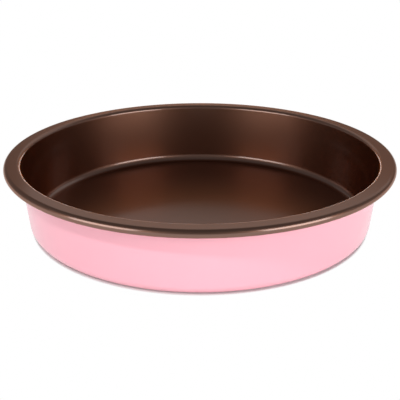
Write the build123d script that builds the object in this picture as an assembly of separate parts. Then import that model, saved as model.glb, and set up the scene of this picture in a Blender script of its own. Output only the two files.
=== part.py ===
# Round cake tin, 24 cm across the opening, pressed from one sheet of steel.
# A brown non-stick coat lies on the baking side and runs over the rim and round its rolled edge.
# A pink lacquer covers the base, the wall and the underside of the rim.
# Millimetres, +Z up, origin on the table at the middle of the base.

import math
import os

from build123d import *

# Driving sizes, taken over the coats on the baking side
opening_diameter = 240.0
tin_height = 46.8
wall_draft = 5.4
corner_radius = 5.5
lip_radius = 2.5
flange_width = 6.1
bead_radius = 2.6

# The sheet and its two coats
steel_thickness = 0.6
nonstick_thickness = 0.2
lacquer_thickness = 0.2

# How far the sheet curls under from the flange, and the last of it that the brown coat leaves bare
steel_curl_turn = 270.0
bare_edge_turn = 10.0
nonstick_curl_turn = steel_curl_turn - bare_edge_turn

# Depths of the layers below the baking side
steel_top = nonstick_thickness
steel_bottom = steel_top + steel_thickness
lacquer_bottom = steel_bottom + lacquer_thickness

# The wall leans out by the draft and meets the corner and the lip at a tangent
draft = math.radians(wall_draft)
wall_turn = 90.0 - wall_draft
floor_height = lacquer_bottom
wall_foot_height = floor_height + corner_radius * (1 - math.sin(draft))
wall_head_height = tin_height - lip_radius * (1 - math.sin(draft))
wall_rise = wall_head_height - wall_foot_height
wall_length = wall_rise / math.cos(draft)
wall_foot_radius = opening_diameter / 2 - wall_rise * math.tan(draft)
floor_radius = wall_foot_radius - corner_radius * math.cos(draft)


def pressed_line(depth, curl_turn):
    """The pressed outline from the middle of the floor to the rim, at a depth below the baking side."""
    height = floor_height - depth
    floor = Line((0, height), (floor_radius, height))
    corner = JernArc(floor @ 1, floor % 1, corner_radius + depth, wall_turn)
    wall = PolarLine(corner @ 1, wall_length, direction=corner % 1)
    lip = JernArc(wall @ 1, wall % 1, lip_radius - depth, -wall_turn)
    flange = PolarLine(lip @ 1, flange_width, direction=lip % 1)
    outline = [floor, corner, wall, lip, flange]
    if curl_turn > 0:
        outline.append(JernArc(flange @ 1, flange % 1, bead_radius - depth, -curl_turn))
    return outline


def sheet_layer(top_depth, bottom_depth, curl_turn):
    """The solid between two depths of the pressed outline, spun once round the middle of the tin."""
    top = pressed_line(top_depth, curl_turn)
    bottom = pressed_line(bottom_depth, curl_turn)
    middle = Line(top[0] @ 0, bottom[0] @ 0)
    rim_edge = Line(top[-1] @ 1, bottom[-1] @ 1)
    section = make_face([*top, rim_edge, *bottom, middle])
    return revolve(Plane.XZ * section, Axis.Z)


def pressed_steel_shell():
    """The sheet itself: floor, corner, wall, lip and flange, with the edge rolled under into a hollow bead."""
    return sheet_layer(steel_top, steel_bottom, steel_curl_turn)


def brown_nonstick_coat():
    """The baking side's coat, which carries on over the flange and round the outside of the bead."""
    return sheet_layer(0, steel_top, nonstick_curl_turn)


def pink_lacquer_coat():
    """The outside coat, from the base up the wall and under the flange as far as the bead."""
    return sheet_layer(steel_bottom, lacquer_bottom, 0)


nodes = {
    "pressed_steel_shell": pressed_steel_shell(),
    "brown_nonstick_coat": brown_nonstick_coat(),
    "pink_lacquer_coat": pink_lacquer_coat(),
}

os.makedirs("parts", exist_ok=True)
for name, shape in nodes.items():
    export_step(shape, f"parts/{name}.step")
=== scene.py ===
# %% [markdown]
# # A round cake tin, brown inside and pink outside
# The real tin is one round blank of thin steel, pressed into a shallow dish with a wide flat rim.
# Its edge is rolled under into a bead, which stiffens the rim and keeps the cut edge away from fingers.
# A dark brown non-stick coat lies on the baking side, and a pale pink lacquer on the outside.
# model.glb brings the exact solids, in metres, and the steel is shown as it comes.
# The two coats carry all the highlights, so they are made again here with smoother bends.

import math

import bmesh
import bpy
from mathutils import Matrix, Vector


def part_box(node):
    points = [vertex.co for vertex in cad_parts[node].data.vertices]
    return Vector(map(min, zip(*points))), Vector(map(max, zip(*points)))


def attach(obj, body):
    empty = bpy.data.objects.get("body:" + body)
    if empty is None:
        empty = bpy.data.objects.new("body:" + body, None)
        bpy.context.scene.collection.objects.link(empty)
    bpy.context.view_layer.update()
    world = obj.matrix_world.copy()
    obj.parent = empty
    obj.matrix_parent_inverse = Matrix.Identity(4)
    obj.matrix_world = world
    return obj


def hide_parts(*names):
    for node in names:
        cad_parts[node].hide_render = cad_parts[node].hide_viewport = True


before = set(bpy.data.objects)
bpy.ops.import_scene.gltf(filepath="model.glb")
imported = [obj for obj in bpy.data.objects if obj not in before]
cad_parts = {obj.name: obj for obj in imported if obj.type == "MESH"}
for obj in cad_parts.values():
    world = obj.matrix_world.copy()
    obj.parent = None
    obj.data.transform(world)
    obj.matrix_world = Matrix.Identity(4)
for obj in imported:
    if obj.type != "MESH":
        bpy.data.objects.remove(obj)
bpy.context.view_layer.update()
print("Nodes:", sorted(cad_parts))

# %% [markdown]
# ## How thick the three layers are
# On the real tin the coats are sprayed on the sheet, so each one starts where the steel ends.
# The thicknesses could be typed in once more, but then they could drift away from the solids.
# Here they are read from the boxes of the three nodes: the layers reach down and up by different amounts,
# and each difference is the thickness of one layer.

# %% Read the layers from model.glb
MM = 0.001
STEEL_NODE = "pressed_steel_shell"
NONSTICK_NODE = "brown_nonstick_coat"
LACQUER_NODE = "pink_lacquer_coat"

nonstick_low, nonstick_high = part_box(NONSTICK_NODE)
steel_low, steel_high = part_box(STEEL_NODE)
tin_height = nonstick_high.z
rim_radius = nonstick_high.x
lacquer_thickness = steel_low.z
steel_thickness = nonstick_low.z - steel_low.z
nonstick_thickness = nonstick_high.z - steel_high.z
sheet_thickness = nonstick_thickness + steel_thickness + lacquer_thickness
print(f"Tin {2 * rim_radius / MM:.1f} mm across and {tin_height / MM:.1f} mm high")
print(f"Steel {steel_thickness / MM:.1f} mm, with both coats {sheet_thickness / MM:.1f} mm")

# %% [markdown]
# ## The bends of the outline
# Cut the tin through its middle and half of the cut is one long bent line: floor, corner, wall, lip,
# flange and the rolled edge. No box shows a bend, so the tin's own radii and angles are written down here.
# The wall leans outwards by a few degrees, because a pressed dish has to come off its punch.

# %% Radii and angles of the tin
wall_draft = math.radians(5.4)
corner_radius = 5.5 * MM
lip_radius = 2.5 * MM
flange_width = 6.1 * MM
bead_radius = 2.6 * MM
nonstick_curl_turn = math.radians(260)
wall_turn = math.pi / 2 - wall_draft
print(f"The corner turns by {math.degrees(wall_turn):.1f} degrees from the floor to the wall")

# %% [markdown]
# ## The straight stretches between them
# How long the wall is and how far the floor reaches could be measured on the solids.
# It is simpler to work inwards from the rim: the bead, the flange and the lip take their share of the
# radius, and the wall runs straight from the end of the lip to the start of the corner.

# %% Lengths that follow from the bends
wall_foot_height = sheet_thickness + corner_radius * (1 - math.sin(wall_draft))
wall_head_height = tin_height - lip_radius * (1 - math.sin(wall_draft))
wall_rise = wall_head_height - wall_foot_height
wall_length = wall_rise / math.cos(wall_draft)
wall_head_radius = rim_radius - bead_radius - flange_width - lip_radius * math.cos(wall_draft)
wall_foot_radius = wall_head_radius - wall_rise * math.tan(wall_draft)
floor_radius = wall_foot_radius - corner_radius * math.cos(wall_draft)
print(f"Opening {2 * wall_head_radius / MM:.1f} mm, floor {2 * floor_radius / MM:.1f} mm across")

# %% [markdown]
# ## Laying down a straight stretch
# A dish could be cut from a cylinder and bevelled, but then each bend depends on what the bevel finds.
# This outline is laid down like the sheet itself: a straight stretch, a bend, the next stretch and so on.
# A straight stretch is its end point, extruded on. Smooth shading would make a long flat face look curved
# where it meets a bend, so a short guard run at both ends takes up that blend.

# %% Straight stretches
BEND_STEP = math.radians(4)
guard_length = corner_radius * BEND_STEP


def run_on(bm, end, heading, length):
    """Extrudes the outline's end straight on and gives the new end."""
    tip = bmesh.ops.extrude_vert_indiv(bm, verts=[end])["verts"][0]
    tip.co += heading * length
    return tip


def lay_stretch(bm, end, angle, length):
    """One straight stretch at an angle above the floor, with a guard run at each end."""
    heading = Vector((math.cos(angle), 0, math.sin(angle)))
    for part in (guard_length, length - 2 * guard_length, guard_length):
        end = run_on(bm, end, heading, part)
    return end


print(f"Guard runs are {guard_length / MM:.2f} mm long")

# %% [markdown]
# ## Laying down a bend
# In the press, the sheet wraps round the rounded edge of a tool. Spin does the same with one point:
# it turns the outline's end round the centre of the bend and leaves a chain of short edges behind.
# The centre lies square to the way the outline is heading: above it for a bend upwards, else below it.

# %% Bends
def lay_bend(bm, end, angle, radius, turn):
    """Spins the end through a bend, upwards for a positive turn, and gives the new end and angle."""
    side = math.copysign(1, turn)
    to_centre = Vector((-math.sin(angle), 0, math.cos(angle))) * side
    steps = math.ceil(abs(turn) / BEND_STEP)
    made = bmesh.ops.spin(
        bm, geom=[end], cent=end.co + to_centre * radius, axis=(0, -side, 0), angle=abs(turn), steps=steps
    )
    tip = next(part for part in made["geom_last"] if isinstance(part, bmesh.types.BMVert))
    return tip, angle + turn


print(f"A bend gets a short edge every {math.degrees(BEND_STEP):.0f} degrees")

# %% [markdown]
# ## The whole pressed outline
# Both coats follow the same sheet, one on its upper side and one on its lower side.
# Two outlines could be drawn, but one will do, laid at a chosen depth below the baking side:
# deeper down, a bend upwards gets wider, a bend downwards gets tighter, and the straight stretches stay.

# %% Outline at a depth
def lay_outline(bm, depth, curl_turn):
    """The outline from the middle of the floor to the rim, at a depth below the baking side."""
    angle = 0
    end = bm.verts.new((0, 0, sheet_thickness - depth))
    end = lay_stretch(bm, end, angle, floor_radius)
    end, angle = lay_bend(bm, end, angle, corner_radius + depth, wall_turn)
    end = lay_stretch(bm, end, angle, wall_length)
    end, angle = lay_bend(bm, end, angle, lip_radius - depth, -wall_turn)
    end = lay_stretch(bm, end, angle, flange_width)
    if curl_turn > 0:
        lay_bend(bm, end, angle, bead_radius - depth, -curl_turn)
    print(f"Outline at {depth / MM:.1f} mm: {len(bm.verts)} points")


# %% [markdown]
# ## Spinning the outline into a skin
# Everything on this tin is round about its middle, so one full spin of the outline makes the whole skin.
# The first points lie on the axis and land on one another, so they are merged into a single one.
# The faces are then turned to the side that can be seen, as the shading and the thickness both go by it.

# %% Spin the skin
UP = Vector((0, 0, 1))
RING_STEPS = 256
MERGE_DISTANCE = 0.001 * MM


def spin_skin(bm, faces_up):
    """Spins the outline once round the middle, closes it at the axis and turns its faces up or down."""
    bmesh.ops.spin(
        bm, geom=bm.verts[:] + bm.edges[:], cent=(0, 0, 0), axis=UP, angle=2 * math.pi,
        steps=RING_STEPS, use_merge=True,
    )
    bmesh.ops.remove_doubles(bm, verts=bm.verts, dist=MERGE_DISTANCE)
    bmesh.ops.recalc_face_normals(bm, faces=bm.faces)
    middle_face = min(bm.faces, key=lambda face: face.calc_center_median().xy.length)
    if (middle_face.normal.z > 0) != faces_up:
        bmesh.ops.reverse_faces(bm, faces=bm.faces)
    for face in bm.faces:
        face.smooth = True


rim_step = 2 * math.pi * rim_radius / RING_STEPS
print(f"The full turn has {RING_STEPS} steps, {rim_step / MM:.1f} mm each at the rim")

# %% [markdown]
# ## From bmesh to object
# A bmesh is only a drawing board. To be seen, its shape goes into a mesh, and the mesh into an object.
# The object stays at the origin, unturned, because the shape was drawn where it belongs.

# %% Make an object
def new_object(name, bm):
    """Turns a bmesh into an object of the scene that keeps its place in its mesh."""
    mesh = bpy.data.meshes.new(name)
    bm.to_mesh(mesh)
    bm.free()
    made = bpy.data.objects.new(name, mesh)
    bpy.context.scene.collection.objects.link(made)
    print(f"{name}: {len(mesh.polygons)} faces")
    return made


# %% [markdown]
# ## From skin to coat
# A real coat is sprayed on, so its outer face is what shows and its inner face lies on the steel.
# Both faces could be drawn and joined at the edges, but Solidify does that from the visible one.
# Its offset is set so that the thickness grows to the hidden side and the tin keeps its size.

# %% Give a skin its thickness
TO_HIDDEN_SIDE = -1


def spun_coat(name, depth, curl_turn, thickness, faces_up):
    """A coat whose visible skin lies at a depth below the baking side and looks up or down."""
    bm = bmesh.new()
    lay_outline(bm, depth, curl_turn)
    spin_skin(bm, faces_up)
    coat = new_object(name, bm)
    solidify = coat.modifiers.new("coat thickness", "SOLIDIFY")
    solidify.thickness = thickness
    solidify.offset = TO_HIDDEN_SIDE
    solidify.use_even_offset = True
    return coat


# %% [markdown]
# ## The brown non-stick coat
# It covers the floor and the wall, runs over the lip and the flange and goes nearly all round the bead.
# The bead could be a separate ring, but on the real tin the coat is one skin, and so is this one:
# the outline simply goes on into the bead's long bend.

# %% Make the brown coat
nonstick = spun_coat(
    "nonstick_coat", depth=0, curl_turn=nonstick_curl_turn, thickness=nonstick_thickness, faces_up=True
)
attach(nonstick, "root")
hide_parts(NONSTICK_NODE)

# %% [markdown]
# ## The pink lacquer
# It covers the outside, from the base up the wall to the underside of the flange.
# Its visible skin is the lower side of the sheet, so it is laid at the full depth and its faces look down.
# It stops where the bead starts to curl, because there the brown coat comes round to meet it.

# %% Make the pink coat
lacquer = spun_coat(
    "lacquer_coat", depth=sheet_thickness, curl_turn=0, thickness=lacquer_thickness, faces_up=False
)
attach(lacquer, "root")
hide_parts(LACQUER_NODE)

# %% [markdown]
# ## Colours
# A colour picker shows sRGB codes, and every colour below is written as one, so that it can be compared
# by eye. Blender's sockets take linear light, so one function turns the codes. Its numbers are those
# of the curve in the sRGB standard.

# %% Turn a colour code to linear light
def linear_colour(code):
    """An sRGB hex colour as linear red, green, blue and alpha."""
    shares = [byte / 255 for byte in bytes.fromhex(code)]
    linear = [s / 12.92 if s <= 0.04045 else ((s + 0.055) / 1.055) ** 2.4 for s in shares]
    return [*linear, 1.0]


print("Middle grey 808080 in linear light:", round(linear_colour("808080")[0], 3))

# %% [markdown]
# ## Nodes
# In the editor a node is dropped, set and wired by hand. One small function does these three things
# for any node, so a material written below reads like its tree: what each node is, then what goes into it.

# %% Add a node
def add_node(tree, kind, settings=None, values=None, links=None):
    """Adds one node: settings are its properties, values its input sockets, links its wired inputs."""
    node = tree.nodes.new(kind)
    for name, setting in (settings or {}).items():
        setattr(node, name, setting)
    for name, value in (values or {}).items():
        node.inputs[name].default_value = value
    for name, output in (links or {}).items():
        tree.links.new(output, node.inputs[name])
    return node


# %% [markdown]
# ## Materials
# A new material comes with a shader of its own. It is cleared out, so that nothing is in the tree by chance.
# Each finish below is a function named for what it really is, and dress() puts it on its piece.

# %% Start a material and dress a piece
def new_material(name):
    """An empty node material and its tree."""
    material = bpy.data.materials.new(name)
    material.use_nodes = True
    material.node_tree.nodes.clear()
    return material, material.node_tree


def dress(piece, material):
    """Gives a piece this one material."""
    piece.data.materials.clear()
    piece.data.materials.append(material)
    print(f"{piece.name}: {material.name}, {len(material.node_tree.nodes)} nodes")


# %% [markdown]
# ## What a sprayed and baked coat looks like
# A sprayed coat is never quite even: its tone drifts a little over a few centimetres.
# That could be painted as a picture, but noise needs none and has no seam on a round dish.
# A noise texture has about one wave to a unit, so a scale of one over a size in metres gives that size.
# It reads Object coordinates wherever it is used, so the pattern is fixed to the tin.

# %% Drifting tone
def drifting_tone(tree, place, patch, detail, dark, light):
    """A colour that drifts between two tones in patches of about the given size."""
    clouds = add_node(
        tree, "ShaderNodeTexNoise", values={"Scale": 1 / patch, "Detail": detail}, links={"Vector": place}
    )
    tones = add_node(tree, "ShaderNodeValToRGB", links={"Fac": clouds.outputs["Fac"]})
    dark_stop, light_stop = tones.color_ramp.elements
    dark_stop.color = linear_colour(dark)
    light_stop.color = linear_colour(light)
    return tones.outputs["Color"]


print(f"Patches of 10 mm need a noise scale of {1 / (10 * MM):.0f}")

# %% [markdown]
# ## The skin of a sprayed coat
# A sprayed skin dries with a fine waviness that painters call orange peel.
# It could be modelled, but waves of a hundredth of a millimetre only show in how the highlights break up.
# A bump is enough for that: it tilts the shading by the slope of a noise and leaves the shape alone.

# %% Orange peel
def orange_peel(tree, place, wave, detail, strength, height):
    """The normal of a skin with waves of about the given size and height."""
    waves = add_node(
        tree, "ShaderNodeTexNoise", values={"Scale": 1 / wave, "Detail": detail}, links={"Vector": place}
    )
    bump = add_node(
        tree, "ShaderNodeBump", values={"Strength": strength, "Distance": height},
        links={"Height": waves.outputs["Fac"]},
    )
    return bump.outputs["Normal"]


# %% [markdown]
# ## The non-stick finish
# This is PTFE non-stick, sprayed on and baked, in a dark brown with mica flakes as pigment.
# Plain brown plastic would have white highlights, but here they are soft and brown, as on bronze paint.
# So the body of the coat is set as a metal in the brown of the flakes, rough enough for a satin shine.
# The clear film on top adds a second, sharper highlight. Flakes in that film mirror more than bare resin
# does, so its IOR lies well above the usual 1.5.
# The real waves of the peel are finer than a millimetre. They are drawn a little coarser, so that they show.

# %% Sizes and shine of the non-stick
NONSTICK_TONES = {"dark": "724d3c", "light": "785140"}
NONSTICK_PATCH = {"patch": 30 * MM, "detail": 2}
NONSTICK_PEEL = {"wave": 1.2 * MM, "detail": 3, "strength": 0.15, "height": 0.02 * MM}
FLAKE_BODY = {"Metallic": 1.0, "Roughness": 0.36, "Specular Tint": linear_colour("e8b090")}
CLEAR_FILM = {"Coat Weight": 0.46, "Coat Roughness": 0.14, "Coat IOR": 2.2}
print("Non-stick tones:", NONSTICK_TONES["dark"], "to", NONSTICK_TONES["light"])


# %% Sprayed non-stick
def sprayed_nonstick():
    """Brown PTFE coat with mica flakes: a satin skin with soft brown highlights."""
    material, tree = new_material("sprayed_nonstick")
    place = add_node(tree, "ShaderNodeTexCoord").outputs["Object"]
    tone = drifting_tone(tree, place, **NONSTICK_PATCH, **NONSTICK_TONES)
    skin = orange_peel(tree, place, **NONSTICK_PEEL)
    shader = add_node(
        tree, "ShaderNodeBsdfPrincipled", values={**FLAKE_BODY, **CLEAR_FILM},
        links={"Base Color": tone, "Normal": skin},
    )
    add_node(tree, "ShaderNodeOutputMaterial", links={"Surface": shader.outputs["BSDF"]})
    return material


dress(nonstick, sprayed_nonstick())

# %% [markdown]
# ## The pink finish
# This is polyester lacquer, rolled or sprayed on the outside and baked hard.
# It is an even pale pink with a gloss like enamel, and has no flakes, so its highlights stay white.
# A second film on top could give the gloss, as on the brown coat, but here film and colour are one resin.
# So one shader does it: the pink as its base colour, a low roughness and the IOR of resin.

# %% Sizes and shine of the lacquer
LACQUER_TONES = {"dark": "f3afbc", "light": "f5b3c0"}
LACQUER_PATCH = {"patch": 40 * MM, "detail": 2}
LACQUER_PEEL = {"wave": 2 * MM, "detail": 2, "strength": 0.1, "height": 0.01 * MM}
RESIN_GLOSS = {"Roughness": 0.22, "IOR": 1.5}
print("Lacquer tones:", LACQUER_TONES["dark"], "to", LACQUER_TONES["light"])


# %% Baked lacquer
def baked_pink_lacquer():
    """Pale pink polyester lacquer: full colour in all light, with white glossy highlights."""
    material, tree = new_material("baked_pink_lacquer")
    place = add_node(tree, "ShaderNodeTexCoord").outputs["Object"]
    tone = drifting_tone(tree, place, **LACQUER_PATCH, **LACQUER_TONES)
    skin = orange_peel(tree, place, **LACQUER_PEEL)
    shader = add_node(
        tree, "ShaderNodeBsdfPrincipled", values=RESIN_GLOSS, links={"Base Color": tone, "Normal": skin}
    )
    add_node(tree, "ShaderNodeOutputMaterial", links={"Surface": shader.outputs["BSDF"]})
    return material


dress(lacquer, baked_pink_lacquer())

# %% [markdown]
# ## The bare steel
# This is cold-rolled carbon steel sheet, and it shows only at its cut edge, inside the bead.
# The mill's rollers leave a straight grain, long one way and narrow the other. A real grain is finer than
# a hair, so it is drawn coarser here. A Mapping node squeezes the coordinates until one unit is one grain,
# and then the same drifting tone that clouds the coats draws it.
# The greys are the metal's own, and a middling roughness gives its dull shine.

# %% Grain and shine of the steel
GRAIN_LENGTH = 20 * MM
GRAIN_WIDTH = 0.3 * MM
STEEL_TONES = {"dark": "8f8e8d", "light": "b4b3b1"}
STEEL_GRAIN = {"patch": 1, "detail": 4}
ROLLED_METAL = {"Metallic": 1.0, "Roughness": 0.35}
print(f"Steel grain: {GRAIN_LENGTH / MM:.0f} by {GRAIN_WIDTH / MM:.1f} mm")


# %% Cold-rolled steel
def cold_rolled_steel():
    """Bare carbon steel sheet: grey metal with a fine straight grain and a dull shine."""
    material, tree = new_material("cold_rolled_steel")
    place = add_node(tree, "ShaderNodeTexCoord").outputs["Object"]
    squeeze = (1 / GRAIN_LENGTH, 1 / GRAIN_WIDTH, 1 / GRAIN_WIDTH)
    grains = add_node(tree, "ShaderNodeMapping", values={"Scale": squeeze}, links={"Vector": place})
    tone = drifting_tone(tree, grains.outputs["Vector"], **STEEL_GRAIN, **STEEL_TONES)
    shader = add_node(tree, "ShaderNodeBsdfPrincipled", values=ROLLED_METAL, links={"Base Color": tone})
    add_node(tree, "ShaderNodeOutputMaterial", links={"Surface": shader.outputs["BSDF"]})
    return material


dress(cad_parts[STEEL_NODE], cold_rolled_steel())

# %% [markdown]
# ## The table
# The tin stands on a plain white table that runs on into a white backdrop.
# A flat square would do from this height, but a lower camera would see past its far edge.
# So the four edges are extruded outwards and up, which gives a low white slope on every side.
# A gentle slope leaves no dark crease where it meets the table.

# %% Make the table
TABLE_REACH = 5.0
BACKDROP_HEIGHT = 0.25
BACKDROP_SPREAD = 1.1


def studio_table():
    """A square table top under the tin, whose four edges are extruded outwards and up."""
    bm = bmesh.new()
    bmesh.ops.create_grid(bm, x_segments=1, y_segments=1, size=TABLE_REACH)
    raised = bmesh.ops.extrude_edge_only(bm, edges=bm.edges)["geom"]
    top_corners = [part for part in raised if isinstance(part, bmesh.types.BMVert)]
    bmesh.ops.scale(bm, verts=top_corners, vec=(BACKDROP_SPREAD, BACKDROP_SPREAD, 1))
    bmesh.ops.translate(bm, verts=top_corners, vec=UP * BACKDROP_HEIGHT)
    return new_object("floor", bm)


table = studio_table()

# %% [markdown]
# ## Which rays see the white
# A table lit until it is white would throw so much light at the tin that its colours wash out.
# So the table glows white only for the rays that look at it: the camera's own, and those that come by way
# of a gloss or a glass. Light Path tells them apart, and every other ray finds a plain matt table.

# %% Tell which rays look at the table
def seen_by_eye(tree):
    """One for camera rays and for rays that were mirrored or went through glass, nought for the rest."""
    path = add_node(tree, "ShaderNodeLightPath")
    through_surfaces = add_node(
        tree, "ShaderNodeMath", settings={"operation": "MAXIMUM"},
        links={0: path.outputs["Is Glossy Ray"], 1: path.outputs["Is Transmission Ray"]},
    )
    seen = add_node(
        tree, "ShaderNodeMath", settings={"operation": "MAXIMUM"},
        links={0: path.outputs["Is Camera Ray"], 1: through_surfaces.outputs["Value"]},
    )
    return seen.outputs["Value"]


# %% [markdown]
# ## The shadow where the tin stands
# In the photo a thin dark line and a narrow soft shadow hold the tin to the table.
# A glowing table would swallow them. Ambient Occlusion tells how open each spot is within a few millimetres:
# out in the open it stays white, and close to the base the glow fades out. That fade paints a contact shade,
# and beneath it the lamps' real shadow on the matt table shows.

# %% Find the spots that lie clear of the tin
CONTACT_REACH = 2.5 * MM
CREVICE_OPENNESS = 0.45
CLEAR_OPENNESS = 0.78


def clear_of_tin(tree):
    """Nought in the crevice under the corner of the tin, rising to one where the table lies open."""
    # Painted contact shade: the white glow fades wherever this occlusion finds the tin close by.
    openness = add_node(tree, "ShaderNodeAmbientOcclusion", values={"Distance": CONTACT_REACH})
    clear = add_node(
        tree, "ShaderNodeMapRange", values={"From Min": CREVICE_OPENNESS, "From Max": CLEAR_OPENNESS},
        links={"Value": openness.outputs["AO"]},
    )
    return clear.outputs["Result"]


print(f"The contact shadow reaches {CONTACT_REACH / MM:.1f} mm")

# %% [markdown]
# ## The white table finish
# This is matt white paint, which throws back about two thirds of the light that falls on it.
# The two factors are multiplied, so the white glow needs both: an eye that looks, and open table.
# A strength of one is exactly white.

# %% Matt white paint
MATT_WHITE = "d4d4d4"
PLAIN_WHITE = 1.0


def white_table():
    """Matt white paint that the eye sees as pure white, with the tin's shadow kept."""
    material, tree = new_material("white_table")
    # Where the tin closes the table in, the glow fades: a painted contact shade over the matt table's real
    # shadow.
    whiteness = add_node(
        tree, "ShaderNodeMath", settings={"operation": "MULTIPLY"},
        links={0: clear_of_tin(tree), 1: seen_by_eye(tree)},
    )
    matt = add_node(tree, "ShaderNodeBsdfDiffuse", values={"Color": linear_colour(MATT_WHITE)})
    glow = add_node(tree, "ShaderNodeEmission", values={"Strength": PLAIN_WHITE})
    mixed = add_node(
        tree, "ShaderNodeMixShader",
        links={0: whiteness.outputs["Value"], 1: matt.outputs["BSDF"], 2: glow.outputs["Emission"]},
    )
    add_node(tree, "ShaderNodeOutputMaterial", links={"Surface": mixed.outputs["Shader"]})
    return material


dress(table, white_table())

# %% [markdown]
# ## The room around
# A studio's walls and ceiling give a dim even light that fills the shadows and shows in the brown coat.
# One flat grey would do, but walls near the lamps are lighter than the ceiling, and the flange mirrors both.
# So the grey fades from the horizon up to the top, along the height of the direction that a ray looks in.

# %% Light the room
WALL_GREY = "979797"
CEILING_GREY = "737373"


def studio_world():
    """A grey room that gets darker towards its ceiling."""
    world = bpy.data.worlds.new("studio")
    world.use_nodes = True
    tree = world.node_tree
    tree.nodes.clear()
    looking = add_node(tree, "ShaderNodeTexCoord")
    axes = add_node(tree, "ShaderNodeSeparateXYZ", links={"Vector": looking.outputs["Generated"]})
    fade = add_node(tree, "ShaderNodeValToRGB", links={"Fac": axes.outputs["Z"]})
    wall_stop, ceiling_stop = fade.color_ramp.elements
    wall_stop.color = linear_colour(WALL_GREY)
    ceiling_stop.color = linear_colour(CEILING_GREY)
    light = add_node(tree, "ShaderNodeBackground", links={"Color": fade.outputs["Color"]})
    add_node(tree, "ShaderNodeOutputWorld", links={"Surface": light.outputs["Background"]})
    return world


bpy.context.scene.world = studio_world()
print("World:", bpy.context.scene.world.name)

# %% [markdown]
# ## Softboxes
# A softbox is a lit white cloth in a frame, so it is a rectangular area lamp that looks at the tin.
# Its place is given as a photographer would: how far round from the camera, and how high.
# Its strength is given as the brightness of its cloth, because that is what the coats mirror,
# and the watts follow: a flat cloth gives off pi watts for each square metre at a brightness of one.
# The camera itself doesn't see the cloth.

# %% Place and power of a softbox
LAMP_DISTANCE = 0.9


def direction(azimuth, elevation):
    """The way to look from the tin, in degrees round from the camera's side and above the table."""
    level = math.cos(math.radians(elevation))
    turn = math.radians(azimuth)
    return Vector((math.sin(turn) * level, -math.cos(turn) * level, math.sin(math.radians(elevation))))


def look_at(thing, target):
    """Turns a lamp or a camera to look at a point, with its upper side up."""
    thing.rotation_euler = (target - thing.location).to_track_quat("-Z", "Y").to_euler()


print("Straight up is", [round(part, 3) for part in direction(0, 90)])

# %% Set up a softbox
BASE_MIDDLE = Vector((0, 0, 0))


def softbox(name, azimuth, elevation, width, height, brightness, mirrored=True):
    """A rectangular lamp that looks at the tin; only a mirrored one shows in the gloss."""
    lamp = bpy.data.lights.new(name, "AREA")
    lamp.shape = "RECTANGLE"
    lamp.size = width
    lamp.size_y = height
    lamp.energy = brightness * math.pi * width * height
    box = bpy.data.objects.new(name, lamp)
    bpy.context.scene.collection.objects.link(box)
    box.location = direction(azimuth, elevation) * LAMP_DISTANCE
    look_at(box, BASE_MIDDLE)
    box.visible_camera = False
    box.visible_glossy = mirrored
    print(f"{name}: {lamp.energy:.2f} W")


# %% [markdown]
# ## The two big softboxes
# In the photo two bright bands lie on the bead and on the wall inside, left and right of the middle.
# They are the mirror images of two softboxes that stand in front of the tin, one on each side.
# The right one is a little brighter, as the pink wall shows.

# %% Key lights
KEY_CLOTH = {"elevation": 15.5, "width": 0.60, "height": 0.46}
softbox("right_softbox", azimuth=50, brightness=4.2, **KEY_CLOTH)
softbox("left_softbox", azimuth=-50, brightness=3.7, **KEY_CLOTH)

# %% [markdown]
# ## The lights behind the tin
# The flange lies flat, so from the camera it mirrors what hangs behind and above the tin: a wide dim panel.
# The lips and the corner are rounded, and a low strip right behind the tin draws the fine lines along them.

# %% Back lights
softbox("rear_panel", azimuth=164, elevation=37, width=1.20, height=0.40, brightness=0.42)
softbox("rear_strip", azimuth=180, elevation=5.5, width=0.50, height=0.15, brightness=3.0)

# %% [markdown]
# ## Light for the pink wall alone
# On the left, the edge of the rim's shadow crosses the pink wall, so a small lamp stands high on that side.
# A card low on the right fills the pink there, and a card behind the tin lights the wall at the back,
# which the photo doesn't show but other views do. The brown coat would mirror them as spots that the
# photo doesn't have, so all three are hidden from mirrored rays.

# %% Shade lamp and cards
softbox("shade_lamp", azimuth=-29, elevation=46, width=0.07, height=0.07, brightness=150.0, mirrored=False)
softbox("fill_card", azimuth=30, elevation=16, width=0.30, height=0.18, brightness=11.0, mirrored=False)
softbox("back_card", azimuth=180, elevation=20, width=0.60, height=0.46, brightness=6.0, mirrored=False)

# %% [markdown]
# ## The camera
# The rim and the base are circles on the tin and ellipses in the photo. How flat they are gives the
# camera's height, and how much smaller the base looks gives its distance, which is only half a metre.
# The lens then follows from the tin's width in the picture, with its focal length counted in pixels.
# All this could be set by eye, but the two ellipses leave little to guess.

# %% Place the camera
PHOTO_PIXELS = 400
FOCAL_PIXELS = 739
CAMERA_DISTANCE = 524 * MM
CAMERA_ELEVATION = 23.3
AIM_HEIGHT = 10.8 * MM

camera_data = bpy.data.cameras.new("camera")
camera_data.lens = camera_data.sensor_width * FOCAL_PIXELS / PHOTO_PIXELS
camera = bpy.data.objects.new("camera", camera_data)
bpy.context.scene.collection.objects.link(camera)
camera.location = direction(0, CAMERA_ELEVATION) * CAMERA_DISTANCE
look_at(camera, UP * AIM_HEIGHT)
bpy.context.scene.camera = camera
print(f"Camera lens: {camera_data.lens:.1f} mm")

# %% [markdown]
# ## How light becomes colour on the screen
# Blender's usual view transform dulls bright colours, as film does. It looks well, but then a colour code
# doesn't come out as written. The Standard transform keeps the codes, so they can be matched to the photo.

# %% Keep the colours as written
bpy.context.scene.view_settings.view_transform = "Standard"
print("View transform:", bpy.context.scene.view_settings.view_transform)
